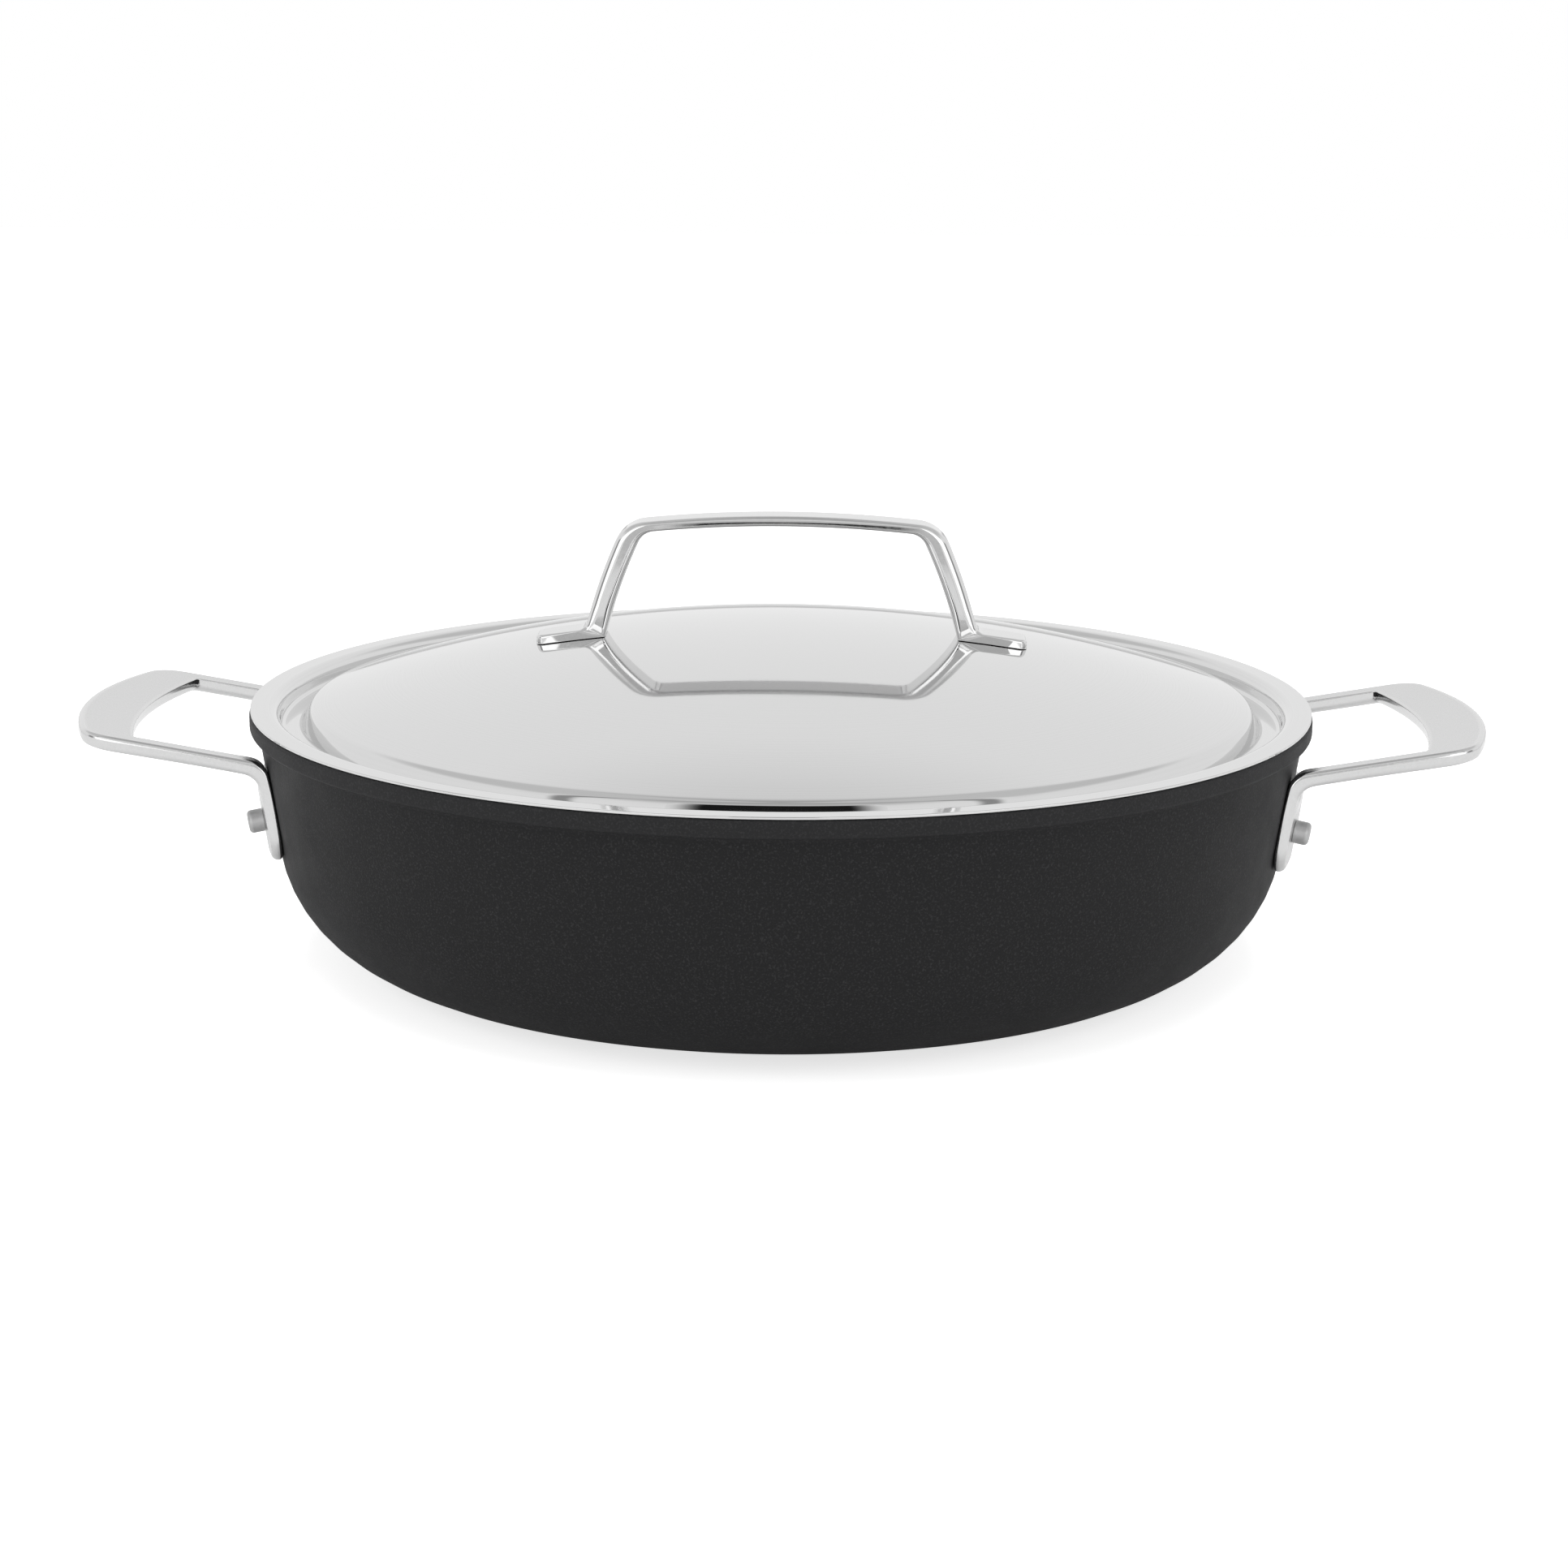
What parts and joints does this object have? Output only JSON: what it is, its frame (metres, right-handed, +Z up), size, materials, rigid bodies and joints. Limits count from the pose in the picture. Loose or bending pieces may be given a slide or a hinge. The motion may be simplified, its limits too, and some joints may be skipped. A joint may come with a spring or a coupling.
{
  "type": "lidded braiser pan",
  "caption": "Low round braising pan in black-coated aluminium with riveted steel loop handles, an inlaid steel base and a lift-off domed steel lid with a bow handle.",
  "frame": {"origin": "centre of the flat face that the pan stands on", "axes": "+Z up along the axis of the pan and lid; +X along the line through the two side handles; +Y to the back"},
  "size_m": [0.3846, 0.2906, 0.12],
  "materials": {
    "black_coating": "matte black non-stick coating on cast aluminium",
    "satin_steel": "satin stainless steel with polished rounded edges",
    "polished_steel": "mirror-polished stainless steel",
    "rivet_aluminium": "dull grey aluminium"
  },
  "bodies": {
    "pan": {"pan_body": "black_coating", "base_disc": "satin_steel", "right_handle": "satin_steel", "left_handle": "satin_steel", "right_front_rivet": "rivet_aluminium", "right_rear_rivet": "rivet_aluminium", "left_front_rivet": "rivet_aluminium", "left_rear_rivet": "rivet_aluminium"},
    "lid": {"lid_shell": "polished_steel", "lid_handle": "polished_steel"}
  },
  "joints": [
    {"name": "lid_lift", "type": "slide", "parent": "pan", "child": "lid", "axis": [0, 0, 1], "range_m": [0, 0.15]}
  ]
}
